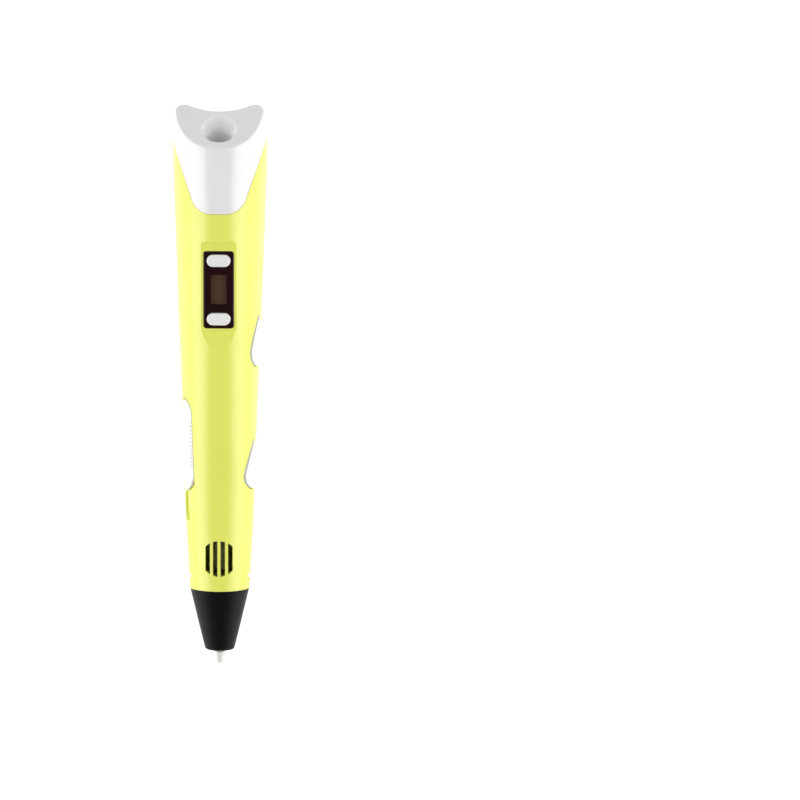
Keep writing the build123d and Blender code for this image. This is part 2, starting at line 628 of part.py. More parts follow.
def flange_end():
    """Where the hot-end mount's flange stops against the front wall."""
    return NOSE_JOINT_Y + CONE_SPIGOT_LENGTH + MOUNT_FLANGE


def vent_cutter():
    """Parallel slots bounded by a circle."""
    span = (VENT_SLOTS - 1) * VENT_PITCH
    slots = Sketch()
    for count in range(VENT_SLOTS):
        slots += Pos(count * VENT_PITCH - span / 2, 0) * Rectangle(VENT_SLOT_WIDTH, 4 * VENT_RADIUS)
    return Pos(0, VENT_Y, 3) * extrude(slots & Circle(VENT_RADIUS), FAR)


def make_upper_shell(blank):
    """Display-side shell with its recesses, vent and control openings."""
    shell = blank & over_parting()
    shell -= display_plane(display_cutouts())
    shell -= slider_recess()
    for button in (FEED_BUTTON, UNLOAD_BUTTON):
        shell -= teardrop(button, SIDE_GAP, button["inner"] - 3, 40)
    shell -= vent_cutter()
    for x, y in SCREW_PLACES:
        top = parting_height(y) + SCREW_BITE + 0.5
        shell -= upright(SCREW_RADIUS + RUNNING_FIT, x, y, -FAR, top)
    return one(shell)


def make_lower_shell(blank):
    """Back shell with its screw wells."""
    shell = blank - over_parting()
    for x, y in SCREW_PLACES:
        shell -= upright(SCREW_RADIUS + SCREW_CLEARANCE, x, y, -FAR, FAR)
        shell -= upright(SCREW_HEAD_RADIUS + SCREW_CLEARANCE, x, y, -FAR, screw_seat(y))
    return one(shell)


def make_shell_screws():
    """Cross-head screws that draw the shells together from the back."""
    screws = []
    for x, y in SCREW_PLACES:
        seat = screw_seat(y)
        low = seat - SCREW_HEAD_HEIGHT
        screw = upright(SCREW_RADIUS, x, y, seat - 0.5, parting_height(y) + SCREW_BITE)
        screw += upright(SCREW_HEAD_RADIUS, x, y, low, seat)
        screw -= block(x - 0.3, x + 0.3, y - 1.2, y + 1.2, low - 1, low + 0.8)
        screw -= block(x - 1.2, x + 1.2, y - 0.3, y + 0.3, low - 1, low + 0.8)
        screws.append(one(screw))
    return Compound(children=screws)


# ---- Nose and hot end ----
def make_nose_cone():
    """Black nose: a turned cone with a softened tip and a spigot inside the shells."""
    top = NOSE_JOINT_Y
    end = top + CONE_SPIGOT_LENGTH
    outer = NOSE_RADIUS - 0.1
    bore = NOZZLE_NECK_RADIUS + 0.3
    inner = CONE_SPIGOT_RADIUS - 1.4
    knee = (CONE_TIP_RADIUS + 0.1, CONE_Y + 1.25)
    tip = (CONE_TIP_RADIUS - 1.0, CONE_Y + 0.15)
    lines = Curve() + [
        Line((bore, CONE_Y - 0.15), tip),
        ThreePointArc(tip, (CONE_TIP_RADIUS - 0.22, CONE_Y + 0.48), knee),
        Line(knee, (outer, top)),
        Line((outer, top), (CONE_SPIGOT_RADIUS, top)),
        Line((CONE_SPIGOT_RADIUS, top), (CONE_SPIGOT_RADIUS, end)),
        Line((CONE_SPIGOT_RADIUS, end), (inner, end)),
        Line((inner, end), (inner, top - 2)),
        Line((inner, top - 2), (CONE_TIP_RADIUS - 0.7, CONE_Y + 3.2)),
        Line((CONE_TIP_RADIUS - 0.7, CONE_Y + 3.2), (CONE_TIP_RADIUS - 0.7, CONE_Y + 1.9)),
        Line((CONE_TIP_RADIUS - 0.7, CONE_Y + 1.9), (bore, CONE_Y + 1.9)),
        Line((bore, CONE_Y + 1.9), (bore, CONE_Y - 0.15)),
    ]
    return revolve(make_face(lines), Axis.Y)


def make_nozzle():
    """Ceramic nozzle: tapered tip with a collar, a neck through the cone and a body in the heater."""
    melt = 0.6
    return turned([
        (NOZZLE_ORIFICE_RADIUS, 0), (0.7, 0), (0.95, 0.15), (1.1, 0.5),
        (NOZZLE_COLLAR_RADIUS, 3.7), (NOZZLE_COLLAR_RADIUS, 4.0), (NOZZLE_NECK_RADIUS, 4.25),
        (NOZZLE_NECK_RADIUS, HEATER_START), (NOZZLE_BODY_RADIUS, HEATER_START),
        (NOZZLE_BODY_RADIUS, NOZZLE_BODY_END), (HEAT_BREAK_RADIUS, NOZZLE_BODY_END),
        (HEAT_BREAK_RADIUS, HEAT_BREAK_START), (melt, HEAT_BREAK_START - 0.7),
        (melt, 1.9), (NOZZLE_ORIFICE_RADIUS, 1.4),
    ])


def ring(inner, outer, y0, y1):
    """A plain ring about the filament line."""
    return along(outer, y0, y1) - along(inner, y0 - 1, y1 + 1)


def make_hot_end_mount():
    """Heat-proof bush that holds the heat break and is trapped behind the cone."""
    start = NOSE_JOINT_Y - 1
    spigot_end = NOSE_JOINT_Y + CONE_SPIGOT_LENGTH
    bush = along(CONE_SPIGOT_RADIUS - 1.45, start, spigot_end)
    bush += along(CONE_SPIGOT_RADIUS, spigot_end, flange_end())
    return bush - along(HEAT_BREAK_RADIUS, start - 1, flange_end() + 1)


def make_thermistor():
    """Small bead on the heater."""
    radius = 0.6
    return along(radius, HEATER_END - 3, HEATER_END, 0, HEATER_RADIUS + radius + 0.02)


# ---- Feed unit ----
def wheel_centre():
    """Height of the feed wheel's centre."""
    return -IDLER_GAP / 2 - WHEEL_RADIUS


def idler_centre():
    """Height of the idler roller's centre."""
    return IDLER_GAP / 2 + IDLER_RADIUS


def drive_centre():
    """Place along the pen and height of the drive gear's centre."""
    apart = GEAR_MODULE * (FEED_TEETH + DRIVE_TEETH) / 2 + GEAR_BACKLASH
    ahead = DRIVE_SHAFT_Y - FEED_Y
    return DRIVE_SHAFT_Y, wheel_centre() - math.sqrt(apart ** 2 - ahead ** 2)


def side_disc(outline, x0, x1, y, z):
    """A flat outline drawn in the side view, made thick from x0 to x1."""
    side = Plane(origin=(x0, y, z), x_dir=(0, 1, 0), z_dir=(1, 0, 0))
    return extrude(side * outline, x1 - x0)


def toothed(teeth, root, tip, root_share, tip_share, phase):
    """A closed outline of straight-sided teeth."""
    step = 2 * math.pi / teeth
    points = []
    for tooth in range(teeth):
        middle = phase + tooth * step
        for share, radius in ((-root_share, root), (-tip_share, tip), (tip_share, tip),
                              (root_share, root)):
            turn = middle + share * step
            points.append((radius * math.cos(turn), radius * math.sin(turn)))
    return make_face(Polyline(*points, close=True))


def gear(teeth, phase, y, z):
    """A spur gear bored for its shaft."""
    pitch_radius = GEAR_MODULE * teeth / 2
    root = pitch_radius - 1.2 * GEAR_MODULE
    tip = pitch_radius + 0.85 * GEAR_MODULE
    outline = toothed(teeth, root, tip, 0.34, 0.13, phase) - Circle(SHAFT_RADIUS)
    return side_disc(outline, GEAR_START_X, GEAR_START_X + GEAR_WIDTH, y, z)


def line_of_centres():
    """Direction from the feed gear to the drive gear in the side view."""
    y, z = drive_centre()
    return math.atan2(z - wheel_centre(), y - FEED_Y)


def make_feed_gear():
    """Gear on the feed shaft, with one tooth on the line of centres."""
    return gear(FEED_TEETH, line_of_centres(), FEED_Y, wheel_centre())


def make_drive_gear():
    """Gear on the motor's output, with one gap on the line of centres."""
    y, z = drive_centre()
    return gear(DRIVE_TEETH, line_of_centres() + math.pi + math.pi / DRIVE_TEETH, y, z)


def make_feed_wheel():
    """Hobbed wheel: fine teeth and a shallow groove for the filament."""
    outline = toothed(24, WHEEL_RADIUS - 0.3, WHEEL_RADIUS, 0.4, 0.15, 0) - Circle(SHAFT_RADIUS)
    wheel = side_disc(outline, -WHEEL_HALF_WIDTH, WHEEL_HALF_WIDTH, FEED_Y, wheel_centre())
    groove = Pos(0, FEED_Y, wheel_centre()) * Rot(0, 90, 0) * Torus(WHEEL_RADIUS + 0.55,
                                                                   FILAMENT_RADIUS)
    return one(wheel - groove)


def housing_sides():
    """The outer faces of the feed housing's two plates."""
    return -WHEEL_HALF_WIDTH - 0.6 - PLATE, GEAR_START_X + GEAR_WIDTH + 0.4 + PLATE


def make_feed_housing():
    """Open-topped frame that carries the wheel, the gears' clearance and both guide tubes."""
    left, right = housing_sides()
    y, z = drive_centre()
    pocket_left, pocket_right = left + PLATE, right - PLATE
    frame = block(left, right, FEED_START, FEED_END, FEED_BOTTOM, FEED_TOP)
    frame -= block(pocket_left, pocket_right, FEED_START + 3.5, FEED_END - 3.5,
                   FEED_BOTTOM + PLATE, FAR)
    tip = GEAR_MODULE * DRIVE_TEETH / 2 + GEAR_MODULE
    frame -= across(tip + 0.4, GEAR_START_X - 0.4, pocket_right, y, z)
    feed_tip = GEAR_MODULE * FEED_TEETH / 2 + GEAR_MODULE
    frame -= across(feed_tip + 0.3, GEAR_START_X - 0.4, pocket_right, FEED_Y, wheel_centre())
    frame -= block(left - 1, GEAR_START_X - 0.3, GEARBOX_START - 0.3, FEED_END + 1,
                   FEED_BOTTOM - 1, z + GEARBOX_HALF + 0.3)
    frame -= block(pocket_left, -pocket_left, FEED_START + 3.5, FEED_END + 1,
                   GUIDE_TUBE_RADIUS + 0.3, FAR)
    frame -= across(SHAFT_RADIUS + RUNNING_FIT, -FAR, FAR, FEED_Y, wheel_centre())
    frame -= across(SHAFT_RADIUS, -FAR, FAR, ARM_PIVOT_Y, ARM_PIVOT_Z)
    frame -= along(FILAMENT_BORE_RADIUS, FEED_START - 1, FEED_END + 1)
    frame -= along(GUIDE_TUBE_RADIUS, FEED_START - 1, FEED_START + 2)
    frame -= along(GUIDE_TUBE_RADIUS, FEED_END - 2, FEED_END + 1)
    return one(frame)


def make_idler_arm():
    """Lever with two cheeks, bridged at its front end and round its pivot."""
    inner = IDLER_HALF_WIDTH + 0.2
    outer = inner + ARM_THICKNESS
    low = GUIDE_TUBE_RADIUS + 0.8
    front = FEED_Y - IDLER_RADIUS - 3.0
    arm = block(-outer, outer, front, ARM_PIVOT_Y + 2, low, FEED_TOP)
    arm -= block(-inner, inner, FEED_Y - IDLER_RADIUS - 0.5, FEED_Y + IDLER_RADIUS + 0.5, -FAR, FAR)
    arm -= block(-FAR, FAR, front - 1, FEED_Y - IDLER_RADIUS - 0.5, -FAR, FEED_TOP - 1.6)
    arm -= across(SHAFT_RADIUS + RUNNING_FIT, -FAR, FAR, ARM_PIVOT_Y, ARM_PIVOT_Z)
    arm -= across(IDLER_PIN_RADIUS, -FAR, FAR, FEED_Y, idler_centre())
    return one(arm)


def make_idler_roller():
    """Grooved roller that runs on its pin."""
    roller = across(IDLER_RADIUS, -IDLER_HALF_WIDTH, IDLER_HALF_WIDTH, FEED_Y, idler_centre())
    return roller - across(IDLER_PIN_RADIUS + RUNNING_FIT, -9, 9, FEED_Y, idler_centre())


def make_idler_spring():
    """Spring-steel bar across the housing that presses on the arm's front end."""
    left, right = housing_sides()
    y = FEED_Y - IDLER_RADIUS - 2.8
    bar = block(left, right, y, y + 2.0, FEED_TOP, FEED_TOP + 0.3)
    return bar


def make_motor_gearbox():
    """Right-angle gearbox with a cross bore for the drive shaft."""
    y, z = drive_centre()
    box = block(-MOTOR_WIDTH / 2, GEAR_START_X - 0.4, GEARBOX_START, GEARBOX_END,
                z - GEARBOX_HALF, z + GEARBOX_HALF)
    box = box.fillet(0.6, box.edges().filter_by(Axis.Y))
    return box - across(SHAFT_RADIUS + RUNNING_FIT, 0.3 - MOTOR_WIDTH / 3, 9, y, z)


def make_drive_shaft():
    """Gearbox output shaft."""
    y, z = drive_centre()
    return across(SHAFT_RADIUS, 0.5 - MOTOR_WIDTH / 3, GEAR_START_X + GEAR_WIDTH, y, z)


def motor_bar(y0, y1, width, height):
    """A length of the flat-sided round motor."""
    z = drive_centre()[1]
    bar = along(width / 2, y0, y1, 0, z)
    return bar & block(-FAR, FAR, y0, y1, z - height / 2, z + height / 2)


def make_motor_can():
    """Flat-sided motor can."""
    return motor_bar(GEARBOX_END, GEARBOX_END + MOTOR_LENGTH, MOTOR_WIDTH, MOTOR_HEIGHT)


def make_motor_end_bell():
    """Moulded end of the motor."""
    start = GEARBOX_END + MOTOR_LENGTH
    return motor_bar(start, start + 1.5, MOTOR_WIDTH - 1.5, MOTOR_HEIGHT - 1.5)


# ---- Guide tubes and wires ----
def tube_on(path, start, radius, bore):
    """A tube swept along a path that starts along the pen."""
    profile = Circle(radius)
    if bore:
        profile -= Circle(bore)
    return sweep(Plane(origin=start, x_dir=(1, 0, 0), z_dir=(0, 1, 0)) * profile, path)


def make_rear_guide_tube():
    """Tube from the funnel down one wide bend to the feed wheel."""
    slope = math.radians(INLET_SLOPE)
    mouth_y, mouth_z = funnel_axis(0)
    corner_y = mouth_y - mouth_z / math.tan(slope)
    reach = BEND_RADIUS * math.tan(slope / 2)
    start = (0, FEED_END - 2, 0)
    bend_start = (0, corner_y - reach, 0)
    bend_middle = (0, bend_start[1] + BEND_RADIUS * math.sin(slope / 2),
                   BEND_RADIUS * (1 - math.cos(slope / 2)))
    bend_end = (0, corner_y + reach * math.cos(slope), reach * math.sin(slope))
    end = (0, *funnel_axis(FUNNEL_DEPTH))
    path = Curve() + [
        Line(start, bend_start),
        ThreePointArc(bend_start, bend_middle, bend_end),
        Line(bend_end, end),
    ]
    return one(tube_on(path, start, GUIDE_TUBE_RADIUS, FILAMENT_BORE_RADIUS))


def wire(points, bend):
    """One insulated wire through the given points."""
    return one(tube_on(FilletPolyline(*points, radius=bend), points[0], WIRE_RADIUS, 0))


def board_underside(y):
    """Height of the main board's underside."""
    drop = BOARD_DEPTH + BOARD_THICKNESS
    return front_height(DISPLAY_Y) - drop + math.tan(math.radians(DISPLAY_SLOPE)) * (y - DISPLAY_Y)


def make_heater_wires():
    """Pair of wires from the hot end, past the feed unit, to the board."""
    left = housing_sides()[0]
    wires = []
    for count in (0, 1):
        x = -0.8 + 1.6 * count
        side = left - 1.3 - 1.3 * count
        top = board_underside(BOARD_START + 7)
        wires.append(wire([
            (x, flange_end(), -3.3), (x, 50, -3.3), (side, 60, -3.4), (side, BOARD_START + 7, -3.4),
            (side, BOARD_START + 7.5, top - 0.1)], 2.0))
    return Compound(children=wires)


def make_motor_wires():
    """Pair of wires from the motor up to the board."""
    z = drive_centre()[1]
    start = GEARBOX_END + MOTOR_LENGTH + 1.5
    wires = []
    for x in (-3.0, 3.0):
        end = board_underside(start + 6) - 0.1
        wires.append(wire([(x, start, z), (x, start + 6, z), (x, start + 6.3, end)], 2.5))
    return Compound(children=wires)


def make_power_wires():
    """Pair of wires from the inlet jack to the board, looped back under it."""
    start = socket_face_y() - JACK_LENGTH
    turn_y = BOARD_START + BOARD_LENGTH - 5
    wires = []
    for x in (-3.0, 3.0):
        end = board_underside(turn_y) - 0.1
        path = FilletPolyline((x, start, INLET_Z + 2), (x, turn_y, INLET_Z + 2), (x, turn_y, end),
                              radius=3.0)
        profile = Plane(origin=(x, start, INLET_Z + 2), x_dir=(1, 0, 0), z_dir=(0, -1, 0))
        wires.append(one(sweep(profile * Circle(WIRE_RADIUS), path)))
    return Compound(children=wires)


# ---- The whole pen ----
def make_pieces():
    """Every piece by name, in the pen's own frame."""
    outer = outer_form()
    blank = make_shell_blank(outer)
    left, right = housing_sides()
    up, down = display_switch_place(1), display_switch_place(-1)
    feed_switch, unload_switch = side_switch_place(FEED_BUTTON), side_switch_place(UNLOAD_BUTTON)
    switches = Compound(children=[display_plane(up * switch_body()),
                                  display_plane(down * switch_body())])
    side_switches = Compound(children=[feed_switch * switch_body(), unload_switch * switch_body()])
    side_boards = Compound(children=[make_side_board(FEED_BUTTON), make_side_board(UNLOAD_BUTTON)])
    return {
        "upper_shell": make_upper_shell(blank),
        "lower_shell": make_lower_shell(blank),
        "end_cap": make_end_cap(outer),
        "shell_screws": make_shell_screws(),
        "nose_cone": make_nose_cone(),
        "nozzle": make_nozzle(),
        "heater_core": ring(NOZZLE_BODY_RADIUS, HEATER_RADIUS, HEATER_START, HEATER_END),
        "thermistor": make_thermistor(),
        "heat_break": ring(FILAMENT_BORE_RADIUS, HEAT_BREAK_RADIUS, HEAT_BREAK_START,
                           flange_end() + 1),
        "hot_end_mount": make_hot_end_mount(),
        "front_guide_tube": ring(FILAMENT_BORE_RADIUS, GUIDE_TUBE_RADIUS, flange_end() + 1,
                                 FEED_START + 2),
        "rear_guide_tube": make_rear_guide_tube(),
        "feed_housing": make_feed_housing(),
        "feed_wheel": make_feed_wheel(),
        "feed_shaft": across(SHAFT_RADIUS, left, right, FEED_Y, wheel_centre()),
        "feed_gear": make_feed_gear(),
        "drive_gear": make_drive_gear(),
        "drive_shaft": make_drive_shaft(),
        "motor_gearbox": make_motor_gearbox(),
        "motor_can": make_motor_can(),
        "motor_end_bell": make_motor_end_bell(),
        "idler_arm": make_idler_arm(),
        "idler_pivot": across(SHAFT_RADIUS, left, right, ARM_PIVOT_Y, ARM_PIVOT_Z),
        "idler_roller": make_idler_roller(),
        "idler_pin": across(IDLER_PIN_RADIUS, -IDLER_HALF_WIDTH - ARM_THICKNESS - 0.2,
                            IDLER_HALF_WIDTH + ARM_THICKNESS + 0.2, FEED_Y, idler_centre()),
        "idler_spring": make_idler_spring(),
        "main_board": make_main_board(),
        "board_screws": make_board_screws(),
        "lcd_cell": make_lcd_cell(),
        "lcd_backlight": make_lcd_backlight(),
        "display_window": make_display_window(),
        "temperature_up_button": make_temperature_button(1),
        "temperature_down_button": make_temperature_button(-1),
        "display_switches": switches,
        "temperature_up_plunger": display_plane(up * switch_plunger()),
        "temperature_down_plunger": display_plane(down * switch_plunger()),
        "feed_button": side_button(FEED_BUTTON),
        "unload_button": side_button(UNLOAD_BUTTON),
        "side_switches": side_switches,
        "feed_plunger": feed_switch * switch_plunger(),
        "unload_plunger": unload_switch * switch_plunger(),
        "side_boards": side_boards,
        "speed_slider": make_speed_slider(),
        "speed_pot": make_speed_pot(),
        "dc_jack": make_dc_jack(),
        "dc_jack_pin": make_dc_pin(),
        "heater_wires": make_heater_wires(),
        "motor_wires": make_motor_wires(),
        "power_wires": make_power_wires(),
    }


def rest_place(pieces):
    """Turns the pen on to the flat of its back, with the origin under its middle."""
    turn = Rot(REST_ANGLE, 0, 0)
    skin = [turn * pieces[name] for name in SKIN]
    box = Compound(children=skin).bounding_box()
    return Pos(-box.center().X, -box.center().Y, -box.min.Z) * turn


PIECES = make_pieces()
PLACE = rest_place(PIECES)
os.makedirs("parts", exist_ok=True)
for name, piece in PIECES.items():
    export_step(PLACE * piece, f"parts/{name}.step")
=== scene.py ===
import bpy
import bmesh
import math
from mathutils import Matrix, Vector


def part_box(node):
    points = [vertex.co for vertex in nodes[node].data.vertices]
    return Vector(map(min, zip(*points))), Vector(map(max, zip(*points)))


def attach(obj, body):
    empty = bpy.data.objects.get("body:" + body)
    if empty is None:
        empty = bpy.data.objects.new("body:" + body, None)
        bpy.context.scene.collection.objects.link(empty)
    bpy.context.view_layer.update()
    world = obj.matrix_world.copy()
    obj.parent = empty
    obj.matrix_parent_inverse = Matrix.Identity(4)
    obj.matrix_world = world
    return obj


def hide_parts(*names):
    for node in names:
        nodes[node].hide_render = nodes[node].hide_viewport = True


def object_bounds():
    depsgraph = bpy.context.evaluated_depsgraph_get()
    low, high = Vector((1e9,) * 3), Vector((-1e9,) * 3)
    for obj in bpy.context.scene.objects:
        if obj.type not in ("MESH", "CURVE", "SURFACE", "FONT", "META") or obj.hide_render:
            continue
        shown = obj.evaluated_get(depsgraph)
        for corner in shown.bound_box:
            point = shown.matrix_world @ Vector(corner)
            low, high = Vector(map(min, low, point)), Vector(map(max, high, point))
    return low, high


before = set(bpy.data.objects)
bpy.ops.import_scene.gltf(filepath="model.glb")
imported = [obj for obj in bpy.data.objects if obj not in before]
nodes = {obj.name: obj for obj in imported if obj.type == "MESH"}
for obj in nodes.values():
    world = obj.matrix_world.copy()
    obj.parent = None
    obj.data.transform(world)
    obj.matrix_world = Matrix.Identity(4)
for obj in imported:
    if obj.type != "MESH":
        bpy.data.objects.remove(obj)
cad_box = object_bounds()


# The studio: a white table, one long softbox on each side with a darker gap overhead,
# and a long lens straight above the pen.
low, high = cad_box
pen_middle = Vector([(a + b) / 2 for a, b in zip(low, high)])
world = bpy.data.worlds.new("studio_air")
bpy.context.scene.world = world
world.use_nodes = True
world.node_tree.nodes["Background"].inputs["Color"].default_value = (1.0, 0.995, 0.985, 1)
world.node_tree.nodes["Background"].inputs["Strength"].default_value = 0.12

table_mesh = bpy.data.meshes.new("studio_table")
table_form = bmesh.new()
corners = [table_form.verts.new((x, y, -0.0002)) for x, y in ((-3, -3), (3, -3), (3, 3), (-3, 3))]
table_form.faces.new(corners)
table_form.to_mesh(table_mesh)
table_form.free()
table = bpy.data.objects.new("studio_table", table_mesh)
bpy.context.collection.objects.link(table)
paper = bpy.data.materials.new("white_paper")
paper.use_nodes = True
paper_tree = paper.node_tree
paper_shader = paper_tree.nodes["Principled BSDF"]
paper_shader.inputs["Roughness"].default_value = 0.9
paper_tooth = paper_tree.nodes.new("ShaderNodeTexNoise")
paper_tooth.inputs["Scale"].default_value = 900.0
paper_colour = paper_tree.nodes.new("ShaderNodeValToRGB")
paper_colour.color_ramp.elements[0].color = (0.93, 0.93, 0.93, 1)
paper_colour.color_ramp.elements[1].color = (0.96, 0.96, 0.96, 1)
paper_tree.links.new(paper_tooth.outputs["Fac"], paper_colour.inputs["Fac"])
paper_tree.links.new(paper_colour.outputs["Color"], paper_shader.inputs["Base Color"])
paper_shader.inputs["Emission Color"].default_value = (1, 1, 1, 1)
paper_shader.inputs["Emission Strength"].default_value = 0.55
table.data.materials.append(paper)

for side, name in ((-1, "softbox_left"), (1, "softbox_right")):
    softbox_data = bpy.data.lights.new(name, "AREA")
    softbox_data.shape = "RECTANGLE"
    softbox_data.size = 1.7
    softbox_data.size_y = 1.1
    softbox_data.energy = 26.0
    softbox = bpy.data.objects.new(name, softbox_data)
    bpy.context.collection.objects.link(softbox)
    softbox.location = (side * 1.25, -0.25, 0.92)
    softbox.rotation_euler = (0, side * math.radians(90), 0)

fill_data = bpy.data.lights.new("tail_fill", "AREA")
fill_data.shape = "RECTANGLE"
fill_data.size = 1.2
fill_data.size_y = 0.8
fill_data.energy = 9.0
fill = bpy.data.objects.new("tail_fill", fill_data)
bpy.context.collection.objects.link(fill)
fill.location = (0.0, 1.5, 1.1)
fill.rotation_euler = (math.radians(-54), 0, 0)

lens = bpy.data.cameras.new("long_lens")
lens.sensor_width = 36.0
camera = bpy.data.objects.new("long_lens", lens)
bpy.context.collection.objects.link(camera)
camera_height = 2.2
view_width = 0.2614
lens.lens = 36.0 * (camera_height - pen_middle.z) / view_width
lens.clip_end = 20.0
camera.location = (pen_middle.x + 0.0590, low[1] + 0.0869, camera_height)
camera.rotation_euler = (0, 0, math.radians(0.2))
bpy.context.scene.camera = camera
bpy.context.scene.view_settings.view_transform = "Standard"


# The two halves of the shell: moulded in lemon ABS from a finely sparked mould, screwed
# together from the back. Edges are slightly polished by the hand, flats keep the grain.
def group_socket(group, name, way, kind, value=None):
    socket = group.interface.new_socket(name=name, in_out=way, socket_type=kind)
    if value is not None:
        socket.default_value = value


def make_edge_wear():
    group = bpy.data.node_groups.new("edge_wear", "ShaderNodeTree")
    group_socket(group, "Radius", "INPUT", "NodeSocketFloat", 0.0003)
    group_socket(group, "Amount", "INPUT", "NodeSocketFloat", 1.0)
    group_socket(group, "Mask", "OUTPUT", "NodeSocketFloat")
    group_socket(group, "Normal", "OUTPUT", "NodeSocketVector")
    inlet = group.nodes.new("NodeGroupInput")
    outlet = group.nodes.new("NodeGroupOutput")
    rounded = group.nodes.new("ShaderNodeBevel")
    rounded.samples = 6
    face = group.nodes.new("ShaderNodeNewGeometry")
    agree = group.nodes.new("ShaderNodeVectorMath")
    agree.operation = "DOT_PRODUCT"
    edge = group.nodes.new("ShaderNodeMapRange")
    edge.inputs["From Min"].default_value = 0.985
    edge.inputs["From Max"].default_value = 0.80
    patchy = group.nodes.new("ShaderNodeTexNoise")
    patchy.inputs["Scale"].default_value = 420.0
    patchy.inputs["Detail"].default_value = 4.0
    place = group.nodes.new("ShaderNodeTexCoord")
    broken = group.nodes.new("ShaderNodeMath")
    broken.operation = "MULTIPLY"
    scaled = group.nodes.new("ShaderNodeMath")
    scaled.operation = "MULTIPLY"
    group.links.new(inlet.outputs["Radius"], rounded.inputs["Radius"])
    group.links.new(rounded.outputs["Normal"], agree.inputs[0])
    group.links.new(face.outputs["Normal"], agree.inputs[1])
    group.links.new(agree.outputs["Value"], edge.inputs["Value"])
    group.links.new(place.outputs["Object"], patchy.inputs["Vector"])
    group.links.new(edge.outputs["Result"], broken.inputs[0])
    group.links.new(patchy.outputs["Fac"], broken.inputs[1])
    group.links.new(broken.outputs["Value"], scaled.inputs[0])
    group.links.new(inlet.outputs["Amount"], scaled.inputs[1])
    group.links.new(scaled.outputs["Value"], outlet.inputs["Mask"])
    group.links.new(rounded.outputs["Normal"], outlet.inputs["Normal"])
    return group


def make_mould_grain():
    group = bpy.data.node_groups.new("mould_grain", "ShaderNodeTree")
    group_socket(group, "Fineness", "INPUT", "NodeSocketFloat", 5000.0)
    group_socket(group, "Height", "OUTPUT", "NodeSocketFloat")
    group_socket(group, "Cloud", "OUTPUT", "NodeSocketFloat")
    group_socket(group, "Scuff", "OUTPUT", "NodeSocketFloat")
    inlet = group.nodes.new("NodeGroupInput")
    outlet = group.nodes.new("NodeGroupOutput")
    place = group.nodes.new("ShaderNodeTexCoord")
    pits = group.nodes.new("ShaderNodeTexNoise")
    pits.inputs["Detail"].default_value = 3.0
    flow = group.nodes.new("ShaderNodeTexNoise")
    flow.inputs["Scale"].default_value = 60.0
    flow.inputs["Detail"].default_value = 3.0
    stretch = group.nodes.new("ShaderNodeMapping")
    stretch.inputs["Rotation"].default_value = (0.3, 0.2, 0.5)
    stretch.inputs["Scale"].default_value = (2600.0, 130.0, 2600.0)
    hairs = group.nodes.new("ShaderNodeTexNoise")
    hairs.inputs["Scale"].default_value = 1.0
    hairs.inputs["Detail"].default_value = 2.0
    thin = group.nodes.new("ShaderNodeMapRange")
    thin.inputs["From Min"].default_value = 0.66
    thin.inputs["From Max"].default_value = 0.80
    group.links.new(place.outputs["Object"], pits.inputs["Vector"])
    group.links.new(inlet.outputs["Fineness"], pits.inputs["Scale"])
    group.links.new(place.outputs["Object"], flow.inputs["Vector"])
    group.links.new(place.outputs["Object"], stretch.inputs["Vector"])
    group.links.new(stretch.outputs["Vector"], hairs.inputs["Vector"])
    group.links.new(hairs.outputs["Fac"], thin.inputs["Value"])
    group.links.new(pits.outputs["Fac"], outlet.inputs["Height"])
    group.links.new(flow.outputs["Fac"], outlet.inputs["Cloud"])
    group.links.new(thin.outputs["Result"], outlet.inputs["Scuff"])
    return group


edge_wear = make_edge_wear()
mould_grain = make_mould_grain()


def place_group(tree, group):
    node = tree.nodes.new("ShaderNodeGroup")
    node.node_tree = group
    return node


def blend_colours(tree, first, second, factor):
    node = tree.nodes.new("ShaderNodeMix")
    node.data_type = "RGBA"
    for socket, colour in ((node.inputs["A"], first), (node.inputs["B"], second)):
        if isinstance(colour, bpy.types.NodeSocket):
            tree.links.new(colour, socket)
        else:
            socket.default_value = (*colour, 1)
    tree.links.new(factor, node.inputs["Factor"])
    return node.outputs["Result"]


def spread(tree, value, start, end):
    node = tree.nodes.new("ShaderNodeMapRange")
    node.inputs["From Min"].default_value = 0.3
    node.inputs["From Max"].default_value = 0.7
    node.inputs["To Min"].default_value = start
    node.inputs["To Max"].default_value = end
    tree.links.new(value, node.inputs["Value"])
    return node.outputs["Result"]


def moulded(name, colour, clouded, worn, roughness, fineness=5000.0, depth=0.00001, rounding=0.0002,
            wear=1.0):
    material = bpy.data.materials.new(name)
    material.use_nodes = True
    tree = material.node_tree
    shader = tree.nodes["Principled BSDF"]
    edges = place_group(tree, edge_wear)
    edges.inputs["Radius"].default_value = rounding
    edges.inputs["Amount"].default_value = wear
    grain = place_group(tree, mould_grain)
    grain.inputs["Fineness"].default_value = fineness
    body = blend_colours(tree, colour, clouded, spread(tree, grain.outputs["Cloud"], 0.0, 1.0))
    skin = blend_colours(tree, body, worn, edges.outputs["Mask"])
    tree.links.new(skin, shader.inputs["Base Color"])
    gloss = tree.nodes.new("ShaderNodeMath")
    gloss.operation = "MULTIPLY_ADD"
    gloss.inputs[1].default_value = 0.12
    tree.links.new(grain.outputs["Scuff"], gloss.inputs[0])
    tree.links.new(spread(tree, grain.outputs["Cloud"], roughness * 0.93, roughness * 1.07), gloss.inputs[2])
    tree.links.new(gloss.outputs["Value"], shader.inputs["Roughness"])
    bump = tree.nodes.new("ShaderNodeBump")
    bump.inputs["Distance"].default_value = depth
    tree.links.new(grain.outputs["Height"], bump.inputs["Height"])
    tree.links.new(edges.outputs["Normal"], bump.inputs["Normal"])
    tree.links.new(bump.outputs["Normal"], shader.inputs["Normal"])
    return material


def finish_node(node, material):
    mesh = nodes[node].data
    for index in range(max(1, len(mesh.materials))):
        if index < len(mesh.materials):
            nodes[node].material_slots[index].material = material
        else:
            mesh.materials.append(material)


